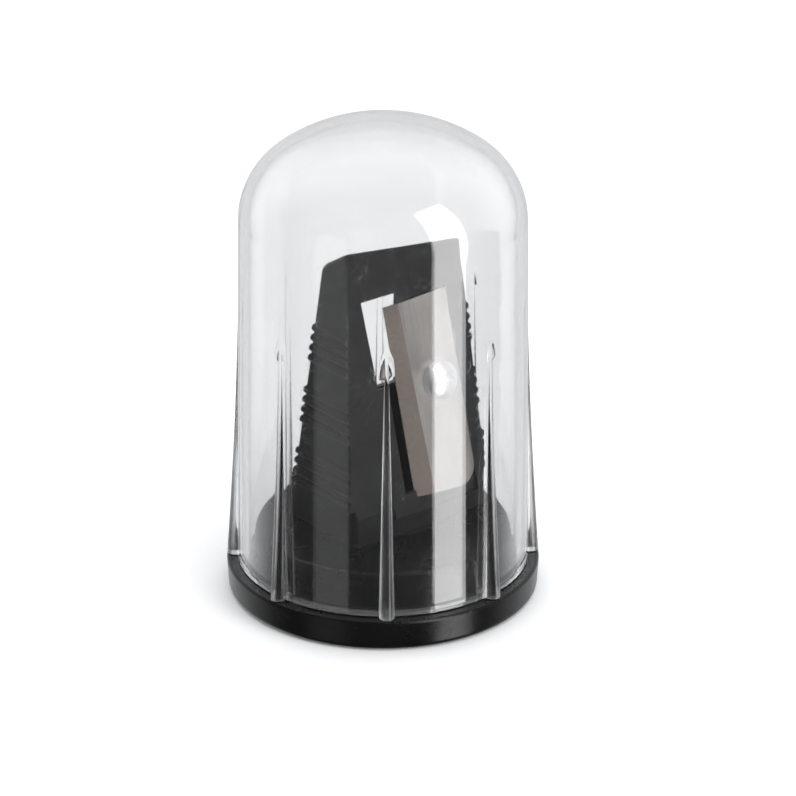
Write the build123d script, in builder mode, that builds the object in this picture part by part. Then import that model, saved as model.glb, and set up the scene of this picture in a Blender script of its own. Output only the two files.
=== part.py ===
from build123d import *
import os
from math import cos, radians, sin, tan

# Pencil sharpener with a clear container, in millimetres.
# The origin is on the table under the middle of the base, and +Z is up.

# ---- base ----
base_radius = 19.0
base_foot_radius = 18.8
base_height = 3.85
base_foot_round = 0.8
base_top_round = 0.35
base_recess_radius = 16.8
base_recess_depth = 0.4
spigot_radius = 16.1
spigot_top_radius = 15.4
spigot_top = 8.65
spigot_round = 0.6
pocket_inner_radius = 8.4
pocket_outer_radius = 14.4
pocket_top = 6.9
pocket_count = 12
pocket_rib = 1.3

# ---- pencil bore, in the body's own directions: x along the blade face, y into the body ----
bore_x = 0.9
bore_y = 0.3
bore_radius = 4.2
bore_mouth_chamfer = 0.8
cone_bite = 0.12
tenon_radius = 6.2
tenon_bottom = 4.2

# ---- sharpener body ----
body_yaw = 39.0
face_lean = 12.0
foot_left = -8.0
foot_right = 12.4
foot_front = -4.9
foot_back = 8.2
foot_top = 13.95
foot_round = 0.5
wedge_left_bottom = -8.4
wedge_left_top = -4.2
wedge_right_bottom = 12.6
wedge_right_top = 13.1
wedge_back_bottom = 6.9
wedge_back_top = 5.7
wedge_top = 44.6
wedge_round = 0.5
roof_left_x = -4.2
roof_left_z = 43.35
roof_fall = 7.0
roof_back_slope = 33.0

# ---- face details, in the leaning face's own directions: x across, y up the slope ----
panel_depth = 0.35
panel_top = 25.9
panel_corner = 5.0
panel_left = -5.8
pad_left = -2.2
pad_right = 11.2
pad_bottom = -3.0
pad_top = 2.0
pad_thickness = 2.0
seat_depth = 0.5
seat_gap = 0.15
slot_left = -0.7
slot_bottom = -0.4
slot_top = 14.0

# ---- chip window, which goes right through the body ----
window_left = -3.0
window_left_run = 0.8
window_right_front = 2.4
window_right_back = 7.4
window_bottom_front = 27.45
window_bottom_back = 22.05
window_top_front = 38.05
window_top_back = 35.85
window_front_y = -3.4
window_back_y = 8.0

# ---- grip ribs on both side walls ----
grip_radius = 0.48
grip_proud = 0.34
grip_pitch = 1.25
grip_per_group = 4
grip_group_tops = (33.15, 25.35, 17.55)
grip_end_gap = 0.15

# ---- blade, turned a little in its face so that its edge leans to the left ----
blade_turn = 2.4
blade_width = 9.4
blade_top = 22.5
blade_bottom = -1.3
blade_bottom_drop = 1.0
blade_thickness = 0.6
blade_corner = 2.4
blade_bevel_top = 1.9
blade_bevel_bottom = 2.7
blade_edge_land = 0.08
blade_hole_radius = 1.5

# ---- blade screw ----
screw_x = 6.9
screw_y = 11.8
screw_head_radius = 2.3
screw_rim_height = 0.95
screw_head_height = 1.7
screw_shank_radius = 1.25
screw_length = 4.6
screw_tip_chamfer = 0.3
screw_recess_width = 0.5
screw_recess_length = 2.7
screw_recess_depth = 0.75

# ---- dome cover ----
rim_gap = 0.15
dome_rim_radius = 17.7
dome_wall_top_radius = 17.0
dome_wall_top = 47.15
dome_top = 59.35
dome_crown_radius = 22.2
dome_thickness = 1.3
rib_count = 8
rib_angle = 1.4
rib_foot_radius = 18.95
rib_mid_radius = 17.93
rib_mid_height = 20.0
rib_top = 38.0
rib_foot_width = 2.1
rib_top_width = 0.6
rib_root = 0.7
rib_round = 0.25

# ---- margins ----
tiny = 1e-3
margin = 1.0

os.makedirs("parts", exist_ok=True)

# The body's frame is turned about the vertical, and its blade face leans back.
turned = Location((0, 0, 0), (0, 0, body_yaw))
lean = radians(face_lean)


def carried(frame, plane):
    """The plane, carried along with a frame that it is described in."""
    return Plane(frame * plane.location)


face_plane = carried(
    turned,
    Plane(origin=(0, foot_front, foot_top), x_dir=(1, 0, 0), z_dir=(0, -cos(lean), sin(lean))),
)
blade_middle = (blade_top + blade_bottom) / 2
blade_frame = face_plane.location * Location((bore_x, blade_middle, 0), (0, 0, blade_turn))
blade_face_plane = Plane(blade_frame * Location((-bore_x, -blade_middle, 0)))
panel_plane = blade_face_plane.offset(-panel_depth)
seat_plane = blade_face_plane.offset(-panel_depth - seat_depth)
seat_front_y = foot_front + (panel_depth + seat_depth) / cos(lean)
bore_center = turned * Location((bore_x, bore_y, 0))


def export(builder, label):
    builder.part.label = label
    export_step(builder.part, f"parts/{label}.step")


def wall_x(bottom_x, top_x, height):
    """Where a side wall of the wedge stands at a height."""
    return bottom_x + (top_x - bottom_x) * (height - foot_top) / (wedge_top - foot_top)


def window_outline(right, bottom, top):
    """Outline of the chip window, whose left side follows the lean of the cutting edge."""
    Polyline(
        (window_left, top),
        (window_left + window_left_run, bottom),
        (right, bottom),
        (right, top),
        close=True,
    )


# ---- base: foot disc, spigot, pencil bore and a ribbed underside ----
with BuildPart() as base:
    with BuildSketch(Plane.XZ) as base_section:
        with BuildLine():
            Polyline(
                (0, 0),
                (base_foot_radius, 0),
                (base_radius, base_height),
                (spigot_radius, base_height),
                (spigot_top_radius, spigot_top),
                (0, spigot_top),
                close=True,
            )
        make_face()
        foot_corner = base_section.vertices().sort_by_distance((base_foot_radius, 0, 0))[0]
        fillet(foot_corner, base_foot_round)
        ledge_corner = base_section.vertices().sort_by_distance((base_radius, base_height, 0))[0]
        fillet(ledge_corner, base_top_round)
        spigot_corner = base_section.vertices().sort_by_distance((spigot_top_radius, spigot_top, 0))[0]
        fillet(spigot_corner, spigot_round)
    revolve(axis=Axis.Z)
    with BuildSketch(Plane.XY):
        Circle(base_recess_radius)
    extrude(amount=base_recess_depth, mode=Mode.SUBTRACT)
    with BuildSketch(Plane.XY):
        Circle(pocket_outer_radius)
        Circle(pocket_inner_radius, mode=Mode.SUBTRACT)
        with PolarLocations(0, pocket_count):
            Rectangle(2 * base_radius, pocket_rib, align=(Align.MIN, Align.CENTER), mode=Mode.SUBTRACT)
    extrude(amount=pocket_top, mode=Mode.SUBTRACT)
    with BuildSketch(Plane.XY):
        with Locations(bore_center):
            Circle(bore_radius)
    extrude(amount=spigot_top, mode=Mode.SUBTRACT)
    with BuildSketch(Plane.XY.offset(tenon_bottom)):
        with Locations(bore_center):
            Circle(tenon_radius)
    extrude(amount=spigot_top, mode=Mode.SUBTRACT)
    bore_edges = base.edges().filter_by(lambda edge: edge.geom_type == GeomType.CIRCLE
                                        and abs(edge.radius - bore_radius) < tiny)
    chamfer(bore_edges.sort_by(Axis.Z)[0], bore_mouth_chamfer)
export(base, "base")

# ---- sharpener body ----
with BuildPart() as sharpener_body:
    # wedge: a side outline with a leaning front, cut to a front outline with tapering walls
    wedge_front_top = foot_front + (wedge_top - foot_top) * tan(lean)
    with BuildSketch(carried(turned, Plane.YZ)):
        with BuildLine():
            Polyline(
                (foot_front, foot_top),
                (wedge_back_bottom, foot_top),
                (wedge_back_top, wedge_top),
                (wedge_front_top, wedge_top),
                close=True,
            )
        make_face()
    extrude(amount=2 * wedge_right_top, both=True)
    with BuildSketch(carried(turned, Plane.XZ)):
        with BuildLine():
            Polyline(
                (wedge_left_bottom, foot_top),
                (wedge_right_bottom, foot_top),
                (wedge_right_top, wedge_top),
                (wedge_left_top, wedge_top),
                close=True,
            )
        make_face()
    extrude(amount=2 * wedge_right_top, both=True, mode=Mode.INTERSECT)

    # roof that falls to the right and to the back
    fall = radians(roof_fall)
    roof = Plane(
        origin=(roof_left_x, foot_front + (roof_left_z - foot_top) * tan(lean), roof_left_z),
        x_dir=(cos(fall), 0, -sin(fall)),
        z_dir=(sin(fall), tan(radians(roof_back_slope)), cos(fall)),
    )
    split(bisect_by=carried(turned, roof), keep=Keep.BOTTOM)
    fillet(sharpener_body.edges().filter_by(lambda edge: edge.center().Z > foot_top + margin), wedge_round)

    # foot block, and the pad that carries the low end of the blade
    with BuildSketch(carried(turned, Plane.XY.offset(spigot_top))):
        with Locations((foot_left, foot_front)):
            RectangleRounded(
                foot_right - foot_left,
                foot_back - foot_front,
                foot_round,
                align=(Align.MIN, Align.MIN),
            )
    extrude(amount=foot_top - spigot_top)
    with BuildSketch(face_plane):
        with Locations((pad_left, pad_bottom)):
            Rectangle(pad_right - pad_left, pad_top - pad_bottom, align=(Align.MIN, Align.MIN))
    extrude(amount=-pad_thickness)

    # grip ribs
    for group_top in grip_group_tops:
        for step in range(grip_per_group):
            height = group_top - step * grip_pitch
            left_x = wall_x(wedge_left_bottom, wedge_left_top, height) - grip_proud + grip_radius
            right_x = wall_x(wedge_right_bottom, wedge_right_top, height) + grip_proud - grip_radius
            front_y = foot_front + (height - foot_top) * tan(lean) + grip_end_gap
            back_y = wall_x(wedge_back_bottom, wedge_back_top, height) - grip_end_gap
            grip_plane = Plane(origin=(0, front_y, height), x_dir=(1, 0, 0), z_dir=(0, 1, 0))
            with BuildSketch(carried(turned, grip_plane)):
                with Locations((left_x, 0), (right_x, 0)):
                    Circle(grip_radius)
            extrude(amount=back_y - front_y)

    # sunk panel of the blade face, with a round upper corner
    with BuildSketch(face_plane):
        with BuildLine():
            side = wedge_left_bottom - margin
            low = pad_bottom - margin
            far = wedge_right_top + margin
            corner_y = panel_top - panel_corner
            Polyline((panel_left, corner_y), (side, corner_y), (side, low), (far, low), (far, panel_top),
                     (panel_left + panel_corner, panel_top))
            CenterArc((panel_left + panel_corner, corner_y), panel_corner, 90, 90)
        make_face()
    extrude(amount=-panel_depth, mode=Mode.SUBTRACT)

    # blade seat
    with BuildSketch(panel_plane):
        with Locations((bore_x, blade_bottom - 2 * blade_bottom_drop)):
            Rectangle(
                blade_width + seat_gap,
                blade_top + seat_gap - blade_bottom + 2 * blade_bottom_drop,
                align=(Align.MIN, Align.MIN),
            )
    extrude(amount=-seat_depth, mode=Mode.SUBTRACT)

    # pencil bore and its cone, whose front side bites a little through the seat
    tenon_plane = Plane.XY.offset(tenon_bottom)
    with BuildSketch(tenon_plane):
        with Locations(bore_center):
            Circle(tenon_radius)
    extrude(amount=spigot_top - tenon_bottom)
    cone_start_radius = bore_y - seat_front_y + cone_bite
    cone_start = foot_top + (cone_start_radius - bore_radius) / tan(lean)
    cone_tip = foot_top + cone_start_radius / tan(lean)
    bore_section = carried(turned, Plane(origin=(bore_x, bore_y, 0), x_dir=(1, 0, 0), z_dir=(0, -1, 0)))
    with BuildSketch(bore_section):
        with BuildLine():
            Polyline(
                (0, tenon_bottom),
                (bore_radius, tenon_bottom),
                (bore_radius, cone_start),
                (0, cone_tip),
                close=True,
            )
        make_face()
    bore_axis = Axis(bore_section.origin, (0, 0, 1))
    revolve(axis=bore_axis, mode=Mode.SUBTRACT)

    # slot beside the cutting edge
    with BuildSketch(blade_face_plane):
        with Locations((slot_left, slot_bottom)):
            Rectangle(bore_x + blade_bevel_top - slot_left, slot_top - slot_bottom, align=(Align.MIN, Align.MIN))
    extrude(amount=foot_front - bore_y + margin, mode=Mode.SUBTRACT)

    # chip window
    window_front = Plane(origin=(0, window_front_y, 0), x_dir=(1, 0, 0), z_dir=(0, -1, 0))
    window_back = Plane(origin=(0, window_back_y, 0), x_dir=(1, 0, 0), z_dir=(0, -1, 0))
    with BuildSketch(carried(turned, window_front)):
        with BuildLine():
            window_outline(window_right_front, window_bottom_front, window_top_front)
        make_face()
    with BuildSketch(carried(turned, window_back)):
        with BuildLine():
            window_outline(window_right_back, window_bottom_back, window_top_back)
        make_face()
    loft(ruled=True, mode=Mode.SUBTRACT)

    # screw hole
    with BuildSketch(seat_plane):
        with Locations((screw_x, screw_y)):
            Circle(screw_shank_radius)
    extrude(amount=-screw_length, mode=Mode.SUBTRACT)
export(sharpener_body, "sharpener_body")

# ---- blade ----
with BuildPart() as blade:
    blade_right = bore_x + blade_width
    with BuildSketch(seat_plane) as blade_outline:
        with BuildLine():
            Polyline(
                (bore_x, blade_top),
                (bore_x, blade_bottom),
                (blade_right, blade_bottom - blade_bottom_drop),
                (blade_right, blade_top),
                close=True,
            )
        make_face()
        low_corner = (blade_right, blade_bottom - blade_bottom_drop, 0)
        fillet(blade_outline.vertices().sort_by_distance(low_corner)[0], blade_corner)
        with Locations((screw_x, screw_y)):
            Circle(blade_hole_radius, mode=Mode.SUBTRACT)
    extrude(amount=blade_thickness)
    # ground bevel: a wedge of steel taken off above the cutting edge, wider at the low end
    for end_y, bevel_width in ((blade_bottom - margin, blade_bevel_bottom), (blade_top + margin, blade_bevel_top)):
        end_plane = Plane(origin=(0, end_y, 0), x_dir=(1, 0, 0), z_dir=(0, 1, 0))
        with BuildSketch(carried(seat_plane.location, end_plane)):
            with BuildLine():
                Polyline(
                    (bore_x - margin, -blade_edge_land),
                    (bore_x, -blade_edge_land),
                    (bore_x + bevel_width, -blade_thickness),
                    (bore_x + bevel_width, -blade_thickness - margin),
                    (bore_x - margin, -blade_thickness - margin),
                    close=True,
                )
            make_face()
    loft(ruled=True, mode=Mode.SUBTRACT)
export(blade, "blade")

# ---- blade screw ----
with BuildPart() as blade_screw:
    head_plane = seat_plane.offset(blade_thickness)
    screw_origin = head_plane.from_local_coords((screw_x, screw_y, 0))
    screw_section = Plane(origin=screw_origin, x_dir=seat_plane.x_dir, z_dir=-seat_plane.y_dir)
    dome_rise = screw_head_height - screw_rim_height
    with BuildSketch(screw_section):
        with BuildLine():
            Polyline(
                (0, screw_head_height),
                (0, -screw_length),
                (screw_shank_radius - screw_tip_chamfer, -screw_length),
                (screw_shank_radius, screw_tip_chamfer - screw_length),
                (screw_shank_radius, 0),
                (screw_head_radius, 0),
                (screw_head_radius, screw_rim_height),
            )
            dome_radius = (screw_head_radius**2 + dome_rise**2) / (2 * dome_rise)
            RadiusArc((screw_head_radius, screw_rim_height), (0, screw_head_height), -dome_radius)
        make_face()
    revolve(axis=Axis(screw_origin, seat_plane.z_dir))
    with BuildSketch(head_plane.offset(screw_head_height)):
        with Locations((screw_x, screw_y)):
            Rectangle(screw_recess_length, screw_recess_width)
            Rectangle(screw_recess_width, screw_recess_length)
    extrude(amount=-screw_recess_depth, mode=Mode.SUBTRACT)
export(blade_screw, "blade_screw")

# ---- dome cover ----
rim_height = base_height + rim_gap
crown_center = dome_top - dome_crown_radius
crown_drop = dome_wall_top - crown_center
shoulder_radius = (
    (dome_crown_radius**2 - dome_wall_top_radius**2 - crown_drop**2)
    / (2 * (dome_crown_radius - dome_wall_top_radius))
)
shoulder_center = dome_wall_top_radius - shoulder_radius
link = dome_crown_radius - shoulder_radius


def dome_outline(inset):
    """Half outline of the dome, drawn inward by inset: wall, shoulder arc and crown arc."""
    crown = dome_crown_radius - inset
    meet = (shoulder_center / link * crown, crown_center + crown_drop / link * crown)
    wall_top = (dome_wall_top_radius - inset, dome_wall_top)
    Line((dome_rim_radius - inset, rim_height), wall_top)
    RadiusArc(wall_top, meet, inset - shoulder_radius)
    RadiusArc(meet, (0, crown_center + crown), -crown)
    Polyline((0, crown_center + crown), (0, rim_height), (dome_rim_radius - inset, rim_height))


rib_turn = Location((0, 0, 0), (0, 0, rib_angle))
with BuildPart() as rib:
    rib_root_radius = dome_wall_top_radius - rib_root
    with BuildSketch(carried(rib_turn, Plane.XZ)):
        with BuildLine():
            ThreePointArc(
                (rib_foot_radius, rim_height),
                (rib_mid_radius, rib_mid_height),
                (dome_wall_top_radius, rib_top),
            )
            Polyline(
                (dome_wall_top_radius, rib_top),
                (rib_root_radius, rib_top),
                (rib_root_radius, rim_height),
                (rib_foot_radius, rim_height),
            )
        make_face()
    extrude(amount=rib_foot_width, both=True)
    with BuildSketch(carried(rib_turn, Plane.YZ)):
        with BuildLine():
            Polyline(
                (-rib_foot_width / 2, rim_height),
                (rib_foot_width / 2, rim_height),
                (rib_top_width / 2, rib_top),
                (-rib_top_width / 2, rib_top),
                close=True,
            )
        make_face()
    extrude(amount=2 * base_radius, mode=Mode.INTERSECT)
    long_edges = rib.edges().filter_by(lambda edge: edge.length > rib_top / 2)
    fillet(long_edges.sort_by(Axis.X)[-2:], rib_round)

with BuildPart() as dome_cover:
    with PolarLocations(0, rib_count):
        add(rib.part)
    with BuildSketch(Plane.XZ):
        with BuildLine():
            dome_outline(0)
        make_face()
    revolve(axis=Axis.Z)
    with BuildSketch(Plane.XZ):
        with BuildLine():
            dome_outline(dome_thickness)
        make_face()
    revolve(axis=Axis.Z, mode=Mode.SUBTRACT)
export(dome_cover, "dome_cover")
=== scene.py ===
from math import atan2, cos, pi, radians, sin, sqrt, tan

import bmesh
import bpy
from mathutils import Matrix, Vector


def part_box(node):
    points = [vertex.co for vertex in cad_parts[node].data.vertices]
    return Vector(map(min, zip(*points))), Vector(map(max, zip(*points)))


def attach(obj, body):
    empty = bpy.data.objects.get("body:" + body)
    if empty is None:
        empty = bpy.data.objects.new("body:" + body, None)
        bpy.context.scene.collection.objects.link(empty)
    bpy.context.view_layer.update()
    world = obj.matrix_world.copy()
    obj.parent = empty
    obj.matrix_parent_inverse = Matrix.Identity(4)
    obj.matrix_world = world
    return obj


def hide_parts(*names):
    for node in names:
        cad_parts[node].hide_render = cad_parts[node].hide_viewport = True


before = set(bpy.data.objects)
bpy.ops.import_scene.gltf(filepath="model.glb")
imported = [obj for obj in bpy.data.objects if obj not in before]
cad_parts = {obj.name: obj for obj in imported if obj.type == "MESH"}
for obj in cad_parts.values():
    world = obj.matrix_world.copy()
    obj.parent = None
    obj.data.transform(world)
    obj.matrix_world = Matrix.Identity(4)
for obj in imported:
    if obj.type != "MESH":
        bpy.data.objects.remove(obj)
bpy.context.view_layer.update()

# Sizes are in metres and angles in degrees.
MM = 0.001

# ---- sharpener body: the turn of the face that the blade lies on ----
BODY_YAW = 39.0
FACE_LEAN = 12.0
FACE_TURN = (90 - FACE_LEAN, 0, BODY_YAW)

# ---- clear cover ----
DOME_RIM_RADIUS = 17.7 * MM
DOME_WALL_TOP_RADIUS = 17.0 * MM
DOME_CROWN_RADIUS = 22.2 * MM
DOME_SHOULDER_DROP = 12.2 * MM
DOME_WALL = 1.3 * MM
DOME_SHARP_ANGLE = 50

# ---- the cover's ribs; the taper is the power that their depth falls by towards the top ----
RIB_COUNT = 8
RIB_ANGLE = 1.4
RIB_FOOT_DEPTH = 1.25 * MM
RIB_HEIGHT = 33.0 * MM
RIB_FOOT_HALF_WIDTH = 0.95 * MM
RIB_TOP_HALF_WIDTH = 0.2 * MM
RIB_TAPER = 1.6
RIB_ROUGHNESS = 0.32

# ---- camera; the lens and sensor are in millimetres, and the shift is a share of the frame ----
CAMERA_RISE = 23.5
CAMERA_DISTANCE = 0.434
CAMERA_LENS = 164.6
CAMERA_SENSOR = 36.0
CAMERA_TARGET = Vector((0, 0, 0.02785))
CAMERA_SHIFT = (0.0189, -0.0352)
CAMERA_CLIP = 10 * MM


# ---------------------------------------------------------------- node helpers
class Nodes:
    """A material's node tree, with short calls for the nodes that the materials share."""

    def __init__(self, name):
        self.material = bpy.data.materials.new(name)
        self.material.use_nodes = True
        self.tree = self.material.node_tree
        self.tree.nodes.clear()
        self.output = self.add("ShaderNodeOutputMaterial")
        self.shader = self.add("ShaderNodeBsdfPrincipled")
        self.link(self.shader.outputs["BSDF"], self.output.inputs["Surface"])
        self.coords = self.add("ShaderNodeTexCoord").outputs["Object"]

    def add(self, kind, **settings):
        node = self.tree.nodes.new(kind)
        for key, value in settings.items():
            setattr(node, key, value)
        return node

    def link(self, source, target):
        self.tree.links.new(source, target)

    def set(self, **values):
        for key, value in values.items():
            self.shader.inputs[key.replace("_", " ")].default_value = value

    def scaled(self, scale, rotation=(0, 0, 0)):
        """The object's coordinates, turned into a frame and scaled."""
        turned = self.add("ShaderNodeMapping", vector_type="TEXTURE")
        turned.inputs["Rotation"].default_value = [radians(angle) for angle in rotation]
        self.link(self.coords, turned.inputs["Vector"])
        mapping = self.add("ShaderNodeMapping", vector_type="POINT")
        mapping.inputs["Scale"].default_value = scale
        self.link(turned.outputs["Vector"], mapping.inputs["Vector"])
        return mapping.outputs["Vector"]

    def noise(self, size, detail=2.0, roughness=0.5, stretch=(1, 1, 1), rotation=(0, 0, 0)):
        """Noise whose features are about size metres across."""
        node = self.add("ShaderNodeTexNoise")
        scale = tuple(factor / size for factor in stretch)
        self.link(self.scaled(scale, rotation), node.inputs["Vector"])
        node.inputs["Scale"].default_value = 1.0
        node.inputs["Detail"].default_value = detail
        node.inputs["Roughness"].default_value = roughness
        return node.outputs["Fac"]

    def ramp(self, value, *stops):
        """A colour ramp of (position, colour) stops; a number stands for a grey."""
        node = self.add("ShaderNodeValToRGB")
        elements = node.color_ramp.elements
        while len(elements) < len(stops):
            elements.new(0.5)
        for element, (position, colour) in zip(elements, stops):
            element.position = position
            grey = not isinstance(colour, tuple)
            element.color = (colour, colour, colour, 1) if grey else (*colour, 1)
        self.link(value, node.inputs["Fac"])
        return node.outputs["Color"]

    def range(self, value, low, high, from_low=0.0, from_high=1.0):
        """A value mapped from from_low and from_high onto low and high, and clamped there."""
        node = self.add("ShaderNodeMapRange")
        ends = {"From Min": from_low, "From Max": from_high, "To Min": low, "To Max": high}
        for key, number in ends.items():
            node.inputs[key].default_value = number
        self.link(value, node.inputs["Value"])
        return node.outputs["Result"]

    def math(self, operation, *values):
        node = self.add("ShaderNodeMath", operation=operation)
        for socket, value in zip(node.inputs, values):
            if isinstance(value, (int, float)):
                socket.default_value = value
            else:
                self.link(value, socket)
        return node.outputs["Value"]

    def mix(self, factor, first, second, blend="MIX"):
        node = self.add("ShaderNodeMix", data_type="RGBA", blend_type=blend)
        for key, value in (("Factor", factor), ("A", first), ("B", second)):
            socket = next(s for s in node.inputs if s.name == key and s.enabled)
            if isinstance(value, (int, float)):
                socket.default_value = value
            elif isinstance(value, tuple):
                socket.default_value = (*value, 1)
            else:
                self.link(value, socket)
        return next(s for s in node.outputs if s.enabled)

    def bump(self, height, depth, strength=1.0, under=None):
        node = self.add("ShaderNodeBump")
        node.inputs["Strength"].default_value = strength
        node.inputs["Distance"].default_value = depth
        self.link(height, node.inputs["Height"])
        if under is not None:
            self.link(under, node.inputs["Normal"])
        return node.outputs["Normal"]

    def scratches(self, spacing, turn, width=0.03):
        """Thin scratches with gaps in them: 1 on a scratch and 0 between.

        They are straight on a surface that runs along the turned Y axis, and curl on one that crosses it.
        """
        wave = self.noise(spacing, detail=0.0, stretch=(1, 0.03, 1), rotation=turn)
        lines = self.ramp(wave, (0.5 - width, 0.0), (0.5, 1.0), (0.5 + width, 0.0))
        gaps = self.ramp(self.noise(spacing * 3), (0.52, 0.0), (0.62, 1.0))
        return self.mix(1.0, lines, gaps, "MULTIPLY")


# ---------------------------------------------------------------- materials
def glossy_black_plastic():
    """The base: polished black moulding, with faint flow ripple, rub marks and dust-fine pitting."""
    n = Nodes("glossy_black_plastic")
    dark, light = (0.0025, 0.0025, 0.0027), (0.005, 0.005, 0.0052)
    n.link(n.ramp(n.noise(6 * MM, detail=4), (0.3, dark), (0.7, light)), n.shader.inputs["Base Color"])
    rub = n.scratches(1.1 * MM, (20, 35, 10))
    smear = n.range(n.noise(2.5 * MM, detail=5, roughness=0.6), 0.16, 0.34)
    n.link(n.math("ADD", smear, n.math("MULTIPLY", rub, 0.06)), n.shader.inputs["Roughness"])
    ripple = n.bump(n.noise(1.8 * MM, detail=1), 0.02 * MM, 0.5)
    pits = n.bump(n.noise(0.12 * MM, detail=2), 0.004 * MM, 0.6, ripple)
    n.link(n.bump(rub, 0.002 * MM, 0.4, pits), n.shader.inputs["Normal"])
    n.set(IOR=1.5)
    return n.material


def satin_black_plastic():
    """The sharpener body: satin moulding with a fine spark-eroded grain and grey rub marks."""
    n = Nodes("satin_black_plastic")
    patches = n.ramp(n.noise(4 * MM, detail=5), (0.3, (0.011, 0.011, 0.0116)), (0.72, (0.020, 0.0194, 0.020)))
    rub = n.scratches(0.9 * MM, (5, 60, 25), 0.02)
    n.link(n.mix(n.math("MULTIPLY", rub, 0.8), patches, (0.12, 0.118, 0.115)), n.shader.inputs["Base Color"])
    n.link(n.range(n.noise(1.4 * MM, detail=4), 0.38, 0.58), n.shader.inputs["Roughness"])
    grain = n.bump(n.noise(0.16 * MM, detail=3, roughness=0.65), 0.012 * MM, 0.7)
    n.link(n.bump(n.noise(2.2 * MM, detail=2), 0.03 * MM, 0.5, grain), n.shader.inputs["Normal"])
    n.set(IOR=1.5, Specular_IOR_Level=0.3)
    return n.material


def blade_steel():
    """The blade: stained steel with lengthwise rolling lines, and a ground bevel with cross lines, whose
    darker colour is painted shade.

    The bevel is where the surface leans from the blade's face towards its cutting edge.
    """
    n = Nodes("blade_steel")
    scratch_turn = (90 - FACE_LEAN, 0, BODY_YAW + 25)
    normal = n.add("ShaderNodeTexCoord").outputs["Normal"]
    face_frame = n.add("ShaderNodeMapping", vector_type="TEXTURE")
    face_frame.inputs["Rotation"].default_value = [radians(angle) for angle in FACE_TURN]
    n.link(normal, face_frame.inputs["Vector"])
    parts = n.add("ShaderNodeSeparateXYZ")
    n.link(face_frame.outputs["Vector"], parts.inputs["Vector"])
    toward_edge = n.math("MULTIPLY", parts.outputs["X"], -1.0)
    most_face_lean, least_bevel_lean = 0.1, 0.16
    bevel = n.range(toward_edge, 0.0, 1.0, most_face_lean, least_bevel_lean)

    rolled = n.noise(0.10 * MM, detail=3, roughness=0.7, stretch=(1, 0.02, 1), rotation=FACE_TURN)
    ground = n.noise(0.09 * MM, detail=2, roughness=0.6, stretch=(0.03, 1, 1), rotation=FACE_TURN)
    stain = n.noise(5 * MM, detail=4, roughness=0.6)
    flat_colour = n.ramp(rolled, (0.3, (0.37, 0.35, 0.325)), (0.7, (0.50, 0.478, 0.455)))
    flat_colour = n.mix(n.range(stain, 0.0, 0.45, 0.5, 0.75), flat_colour, (0.30, 0.262, 0.237))
    # painted shade: the bevel is the same steel coloured far darker where the surface leans towards the
    # cutting edge; the cross-line tone inside it is the real grind
    bevel_colour_painted_dark = n.ramp(ground, (0.3, (0.10, 0.086, 0.077)), (0.7, (0.165, 0.142, 0.128)))
    n.link(n.mix(bevel, flat_colour, bevel_colour_painted_dark), n.shader.inputs["Base Color"])
    lines = n.mix(bevel, rolled, ground)
    n.link(n.range(lines, 0.26, 0.46), n.shader.inputs["Roughness"])
    fine = n.bump(lines, 0.004 * MM, 0.8)
    n.link(n.bump(n.scratches(0.7 * MM, scratch_turn), 0.004 * MM, 0.6, fine), n.shader.inputs["Normal"])
    n.set(Metallic=1.0, Anisotropic=0.35)
    return n.material


def plated_screw():
    """The screw: bright plating, finely uneven, with a little wear."""
    n = Nodes("plated_screw")
    wear = n.ramp(n.noise(0.6 * MM, detail=4), (0.3, (0.80, 0.81, 0.83)), (0.75, (0.90, 0.90, 0.91)))
    n.link(wear, n.shader.inputs["Base Color"])
    n.link(n.range(n.noise(0.25 * MM, detail=3), 0.24, 0.40), n.shader.inputs["Roughness"])
    n.link(n.bump(n.noise(0.2 * MM, detail=2), 0.004 * MM, 0.7), n.shader.inputs["Normal"])
    n.set(Metallic=1.0)
    return n.material


def rib_mask(n):
    """1 on the cover's ribs, which the mould leaves less polished, and 0 on its wall."""
    low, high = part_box("dome_cover")
    rim, wall_top = low[2], high[2] - DOME_SHOULDER_DROP
    taper = (DOME_RIM_RADIUS - DOME_WALL_TOP_RADIUS) / (wall_top - rim)
    parts = n.add("ShaderNodeSeparateXYZ")
    n.link(n.coords, parts.inputs["Vector"])
    x, y, z = (parts.outputs[axis] for axis in "XYZ")
    radius = n.math("SQRT", n.math("ADD", n.math("MULTIPLY", x, x), n.math("MULTIPLY", y, y)))
    wall = n.math("ADD", n.math("MULTIPLY", z, -taper), DOME_RIM_RADIUS + rim * taper)
    least_proud, fully_proud = 0.05 * MM, 0.3 * MM
    return n.range(n.math("SUBTRACT", radius, wall), 0.0, 1.0, least_proud, fully_proud)


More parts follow.
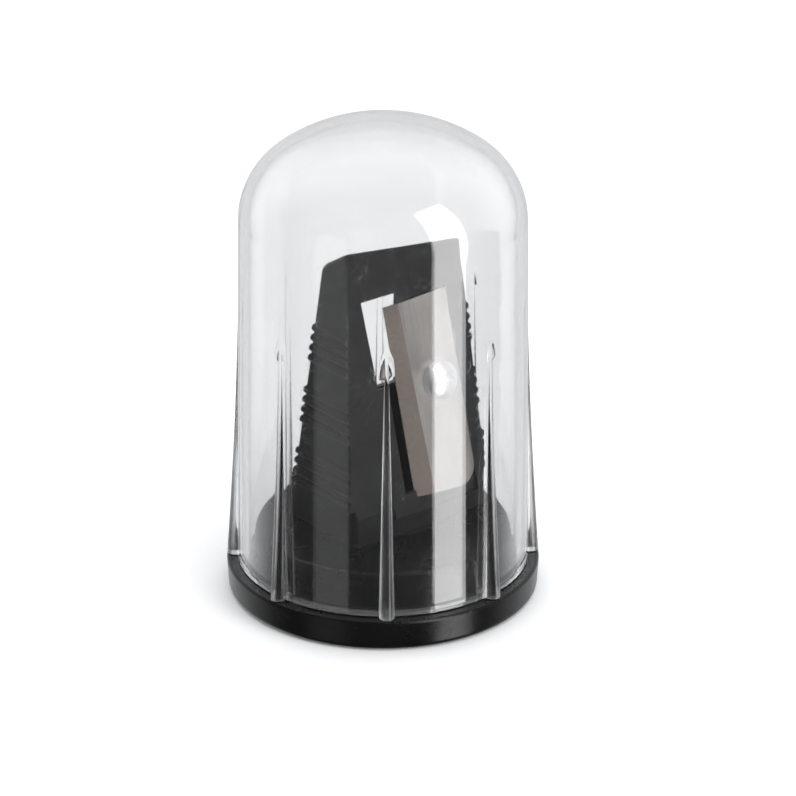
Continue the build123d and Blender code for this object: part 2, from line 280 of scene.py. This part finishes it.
def clear_plastic():
    """The dome: clear moulded plastic with faint flow waviness and hairline handling scratches."""
    n = Nodes("clear_plastic")
    tint = n.ramp(n.noise(9 * MM, detail=2), (0.3, (0.935, 0.937, 0.941)), (0.7, (0.950, 0.952, 0.954)))
    n.link(tint, n.shader.inputs["Base Color"])
    hair = n.scratches(1.3 * MM, (10, 80, 15), 0.012)
    polish = n.math("ADD", n.range(n.noise(3 * MM, detail=4), 0.015, 0.05), n.math("MULTIPLY", hair, 0.12))
    ribs = n.math("MULTIPLY", rib_mask(n), RIB_ROUGHNESS)
    n.link(n.math("ADD", polish, ribs), n.shader.inputs["Roughness"])
    flow = n.bump(n.noise(5 * MM, detail=1, stretch=(1, 1, 0.3)), 0.012 * MM, 0.5)
    n.link(n.bump(hair, 0.003 * MM, 0.5, flow), n.shader.inputs["Normal"])
    n.set(IOR=1.59, Transmission_Weight=1.0, Coat_Weight=1.0, Coat_Roughness=0.05)
    # lamps shine through the clear wall onto what it covers
    clear = n.add("ShaderNodeBsdfTransparent")
    clear.inputs["Color"].default_value = (0.92, 0.925, 0.93, 1)
    chooser = n.add("ShaderNodeMixShader")
    n.link(n.add("ShaderNodeLightPath").outputs["Is Shadow Ray"], chooser.inputs["Fac"])
    n.link(n.shader.outputs["BSDF"], chooser.inputs[1])
    n.link(clear.outputs["BSDF"], chooser.inputs[2])
    n.link(chooser.outputs["Shader"], n.output.inputs["Surface"])
    return n.material


def pale_table():
    """The table and backdrop: matt white card with a slight tooth."""
    n = Nodes("pale_table")
    n.link(n.ramp(n.noise(40 * MM, detail=3), (0.3, 0.90), (0.7, 0.93)), n.shader.inputs["Base Color"])
    n.link(n.bump(n.noise(0.5 * MM, detail=2), 0.01 * MM, 0.3), n.shader.inputs["Normal"])
    n.set(Roughness=0.9, Specular_IOR_Level=0.1)
    # a ray that has been mirrored once passes through the card, so the object doesn't reflect it
    unseen = n.add("ShaderNodeMixShader")
    n.link(once_mirrored(n.tree), unseen.inputs["Fac"])
    n.link(n.shader.outputs["BSDF"], unseen.inputs[1])
    n.link(n.add("ShaderNodeBsdfTransparent").outputs["BSDF"], unseen.inputs[2])
    n.link(unseen.outputs["Shader"], n.output.inputs["Surface"])
    return n.material


# ---------------------------------------------------------------- dome
def add_mesh(name, vertices, faces):
    """A smooth-shaded mesh object."""
    mesh = bpy.data.meshes.new(name)
    mesh.from_pydata(vertices, [], faces)
    mesh.update()
    mesh.shade_smooth()
    piece = bpy.data.objects.new(name, mesh)
    bpy.context.scene.collection.objects.link(piece)
    return piece


def dome_rows(inset):
    """The dome's outline as (radius, height) pairs from the rim to just short of the top, and its top."""
    low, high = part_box("dome_cover")
    rim, top = low[2], high[2]
    wall_top = top - DOME_SHOULDER_DROP
    crown_center = top - DOME_CROWN_RADIUS
    rise = wall_top - crown_center
    shoulder = (DOME_CROWN_RADIUS**2 - DOME_WALL_TOP_RADIUS**2 - rise**2) / (
        2 * (DOME_CROWN_RADIUS - DOME_WALL_TOP_RADIUS)
    )
    across = DOME_WALL_TOP_RADIUS - shoulder
    turn = atan2(across, rise)
    wall_steps, shoulder_steps, crown_steps = 72, 24, 40
    rows = []
    for step in range(wall_steps):
        share = step / wall_steps
        radius = DOME_RIM_RADIUS + (DOME_WALL_TOP_RADIUS - DOME_RIM_RADIUS) * share
        rows.append((radius - inset, rim + (wall_top - rim) * share))
    for step in range(shoulder_steps):
        angle = (pi / 2 - turn) * step / shoulder_steps
        rows.append((across + (shoulder - inset) * cos(angle), wall_top + (shoulder - inset) * sin(angle)))
    for step in range(crown_steps):
        angle = turn * (1 - step / crown_steps)
        crown = DOME_CROWN_RADIUS - inset
        rows.append((crown * sin(angle), crown_center + crown * cos(angle)))
    return rows, crown_center + DOME_CROWN_RADIUS - inset


def rib_section(height):
    """Depth and half width of a rib, at a height above the rim.

    The points that stand for a rib stay on the wall above its top.
    """
    left = max(0.0, 1 - height / RIB_HEIGHT)
    half_width = RIB_TOP_HALF_WIDTH + (RIB_FOOT_HALF_WIDTH - RIB_TOP_HALF_WIDTH) * left
    return RIB_FOOT_DEPTH * left**RIB_TAPER, half_width


def ring(radius, height, rim, ribbed):
    """One ring of the dome's surface. Its points crowd together at the ribs, which stand out from it."""
    across_rib, between_ribs = 24, 18
    depth, half_width = rib_section(height - rim)
    points = []
    for rib in range(RIB_COUNT):
        center = radians(RIB_ANGLE) + 2 * pi * rib / RIB_COUNT
        half_angle = half_width / DOME_RIM_RADIUS
        gap = 2 * pi / RIB_COUNT - 2 * half_angle
        for step in range(across_rib):
            side = -cos(pi * step / across_rib)
            bulge = depth * sqrt(max(0.0, 1 - side * side)) if ribbed else 0.0
            angle = center + side * half_angle
            points.append(((radius + bulge) * cos(angle), (radius + bulge) * sin(angle), height))
        for step in range(between_ribs):
            angle = center + half_angle + gap * step / between_ribs
            points.append((radius * cos(angle), radius * sin(angle), height))
    return points


def add_dome(material):
    """The clear cover: a ribbed outer skin and a plain inner skin, joined round the rim."""
    vertices, skins, tops = [], [], []
    for inset, ribbed in ((0.0, True), (DOME_WALL, False)):
        rows, top = dome_rows(inset)
        rim = rows[0][1]
        first = len(vertices)
        for radius, height in rows:
            vertices += ring(radius, height, rim, ribbed)
        skins.append((first, len(rows)))
        tops.append(len(vertices))
        vertices.append((0, 0, top))
    count = (tops[0] - skins[0][0]) // skins[0][1]
    faces = []
    for (first, row_count), top in zip(skins, tops):
        for row in range(row_count - 1):
            low, high = first + row * count, first + (row + 1) * count
            for step in range(count):
                after = (step + 1) % count
                faces.append((low + step, low + after, high + after, high + step))
        last = first + (row_count - 1) * count
        faces += [(last + step, last + (step + 1) % count, top) for step in range(count)]
    outer, inner = skins[0][0], skins[1][0]
    for step in range(count):
        after = (step + 1) % count
        faces.append((outer + after, outer + step, inner + step, inner + after))
    dome = add_mesh("clear_dome", vertices, faces)
    shape = bmesh.new()
    shape.from_mesh(dome.data)
    bmesh.ops.recalc_face_normals(shape, faces=shape.faces)
    shape.to_mesh(dome.data)
    shape.free()
    dome.data.set_sharp_from_angle(angle=radians(DOME_SHARP_ANGLE))
    dome.data.materials.append(material)
    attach(dome, "cover")
    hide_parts("dome_cover")


# ---------------------------------------------------------------- object
materials = {
    "base": glossy_black_plastic(),
    "sharpener_body": satin_black_plastic(),
    "blade": blade_steel(),
    "blade_screw": plated_screw(),
    "dome_cover": clear_plastic(),
}
for node_name, material in materials.items():
    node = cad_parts[node_name]
    for slot in node.material_slots:
        slot.material = material


# ---------------------------------------------------------------- table, light and camera
def add_sweep():
    """A white card that runs under the object and curves up behind it."""
    width, front, back, bend, height = 3.0, -1.2, 1.2, 0.5, 2.4
    profile = [(front, 0.0), (back - bend, 0.0)]
    steps = 16
    for step in range(1, steps + 1):
        angle = radians(90) * step / steps
        profile.append((back - bend + bend * sin(angle), bend - bend * cos(angle)))
    profile.append((back, height))
    vertices = [(side * width / 2, y, z) for y, z in profile for side in (-1, 1)]
    faces = [(2 * i, 2 * i + 1, 2 * i + 3, 2 * i + 2) for i in range(len(profile) - 1)]
    sweep = add_mesh("sweep", vertices, faces)
    sweep.data.materials.append(pale_table())


def add_softbox(name, azimuth, rise, distance, spread, radiance):
    """A softbox that faces the object and fills spread (across, up) degrees as seen from it.

    Azimuth 0 is the camera's side, and it grows to the right.
    """
    light = bpy.data.lights.new(name, "AREA")
    light.shape = "RECTANGLE"
    light.size = 2 * distance * tan(radians(spread[0] / 2))
    light.size_y = 2 * distance * tan(radians(spread[1] / 2))
    light.energy = radiance * pi * light.size * light.size_y
    lamp = bpy.data.objects.new(name, light)
    around = radians(azimuth)
    up = radians(rise)
    away = Vector((sin(around) * cos(up), -cos(around) * cos(up), sin(up)))
    lamp.location = CAMERA_TARGET + away * distance
    lamp.rotation_euler = away.to_track_quat("Z", "Y").to_euler()
    bpy.context.scene.collection.objects.link(lamp)
    return lamp


def once_mirrored(tree):
    """1 for a ray that has been mirrored exactly once on its way here, and 0 for any other."""
    compare = tree.nodes.new("ShaderNodeMath")
    compare.operation = "COMPARE"
    tree.links.new(tree.nodes.new("ShaderNodeLightPath").outputs["Glossy Depth"], compare.inputs[0])
    once, tolerance = 1.0, 0.5
    compare.inputs[1].default_value = once
    compare.inputs[2].default_value = tolerance
    return compare.outputs["Value"]


def add_world(around, mirrored_front, mirrored_rear):
    """A white room. A ray that has been mirrored once sees it dimmer, most of all on the camera's side.

    It changes from front to rear over a band of directions, from front_end to rear_start along Y.
    """
    world = bpy.data.worlds.new("studio")
    world.use_nodes = True
    tree = world.node_tree
    background = tree.nodes["Background"]
    background.inputs["Color"].default_value = (0.97, 0.98, 1.0, 1)
    direction = tree.nodes.new("ShaderNodeTexCoord").outputs["Generated"]
    parts = tree.nodes.new("ShaderNodeSeparateXYZ")
    tree.links.new(direction, parts.inputs["Vector"])
    front_end, rear_start = -0.1, 0.5
    rear = tree.nodes.new("ShaderNodeMapRange")
    rear.inputs["From Min"].default_value = front_end
    rear.inputs["From Max"].default_value = rear_start
    rear.inputs["To Min"].default_value = mirrored_front
    rear.inputs["To Max"].default_value = mirrored_rear
    tree.links.new(parts.outputs["Y"], rear.inputs["Value"])
    level = tree.nodes.new("ShaderNodeMapRange")
    level.inputs["To Min"].default_value = around
    tree.links.new(once_mirrored(tree), level.inputs["Value"])
    tree.links.new(rear.outputs["Result"], level.inputs["To Max"])
    tree.links.new(level.outputs["Result"], background.inputs["Strength"])
    bpy.context.scene.world = world


def add_camera():
    """The camera, straight in front of the object and CAMERA_RISE above the horizontal."""
    data = bpy.data.cameras.new("camera")
    data.lens = CAMERA_LENS
    data.sensor_width = CAMERA_SENSOR
    data.shift_x, data.shift_y = CAMERA_SHIFT
    data.clip_start = CAMERA_CLIP
    camera = bpy.data.objects.new("camera", data)
    rise = radians(CAMERA_RISE)
    away = Vector((0, -cos(rise), sin(rise)))
    camera.location = CAMERA_TARGET + away * CAMERA_DISTANCE
    camera.rotation_euler = away.to_track_quat("Z", "Y").to_euler()
    bpy.context.scene.collection.objects.link(camera)
    bpy.context.scene.camera = camera


add_dome(materials["dome_cover"])
add_sweep()
add_world(around=0.9, mirrored_front=0.06, mirrored_rear=0.7)
add_softbox("right_strip", azimuth=54, rise=8, distance=0.9, spread=(29, 94), radiance=3.0)
add_softbox("left_strip", azimuth=-41.5, rise=-10, distance=0.9, spread=(27, 60), radiance=0.24)
# the overhead box lights the object, but isn't seen in it
overhead = add_softbox("overhead", azimuth=180, rise=72, distance=1.2, spread=(60, 60), radiance=1.35)
overhead.visible_glossy = False
overhead.visible_transmission = False
add_camera()
bpy.context.scene.view_settings.view_transform = "Standard"
